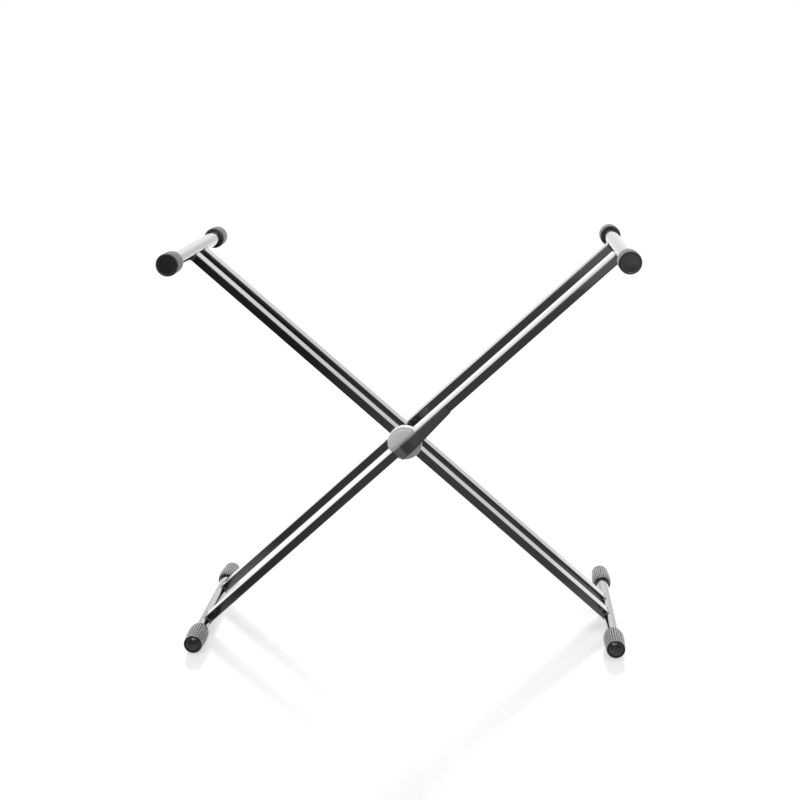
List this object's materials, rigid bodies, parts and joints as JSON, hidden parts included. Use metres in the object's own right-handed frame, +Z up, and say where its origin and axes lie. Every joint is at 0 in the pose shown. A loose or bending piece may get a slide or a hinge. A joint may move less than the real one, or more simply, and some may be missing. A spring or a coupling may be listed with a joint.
{
  "type": "folding keyboard stand",
  "caption": "Folding X stand for a keyboard: steel frames crossing on a common pivot, ribbed rubber feet and rests, and a cam lever that clamps the opening angle.",
  "frame": {"origin": "on the floor, midway between the left and right feet and midway between front and back", "axes": "+X to the player's right along the keyboard, +Y away from the player, +Z up"},
  "size_m": [0.7746, 0.45, 0.6921],
  "materials": {
    "black_enamel": "gloss",
    "rubber": "satin",
    "die_cast_zinc": "satin",
    "plated_steel": "satin",
    "matte_plastic": "matte",
    "nylon": "satin",
    "fibre": "matte"
  },
  "bodies": {
    "outer_frame": {"outer_front_arm": "black_enamel", "outer_rear_arm": "black_enamel", "outer_top_tube": "black_enamel", "outer_foot_tube": "black_enamel", "outer_top_cap_front": "rubber", "outer_top_cap_rear": "rubber", "outer_foot_cap_front": "rubber", "outer_foot_cap_rear": "rubber", "front_clutch_plate": "die_cast_zinc", "friction_disc": "fibre", "thrust_pad": "nylon", "rear_pivot_bolt": "plated_steel", "rear_head_washer": "plated_steel", "rear_spacer": "nylon", "rear_nut_washer": "plated_steel", "rear_lock_nut": "plated_steel"},
    "inner_frame": {"inner_front_arm": "black_enamel", "inner_rear_arm": "black_enamel", "inner_top_tube": "black_enamel", "inner_foot_tube": "black_enamel", "inner_top_cap_front": "rubber", "inner_top_cap_rear": "rubber", "inner_foot_cap_front": "rubber", "inner_foot_cap_rear": "rubber", "rear_clutch_plate": "die_cast_zinc"},
    "clamp": {"clamp_bolt": "plated_steel", "clamp_washer": "plated_steel", "barrel_pin": "plated_steel"},
    "lever": {"cam_lever": "matte_plastic"}
  },
  "joints": [
    {"name": "fold", "type": "hinge", "parent": "outer_frame", "child": "inner_frame", "pos_m": [0, 0, 0.34153], "axis": [0, 1, 0], "range_deg": [-30, 91]},
    {"name": "clamp_slide", "type": "slide", "parent": "outer_frame", "child": "clamp", "axis": [0, 1, 0], "range_m": [0, 0.001]},
    {"name": "lever_hinge", "type": "hinge", "parent": "clamp", "child": "lever", "pos_m": [0, -0.11366, 0.34153], "axis": [0.6691, 0, -0.7431], "range_deg": [0, 90]}
  ],
  "couplings": [
    {"joint": "clamp_slide", "follows": "lever_hinge", "m_per_rad": 0.0006366}
  ]
}
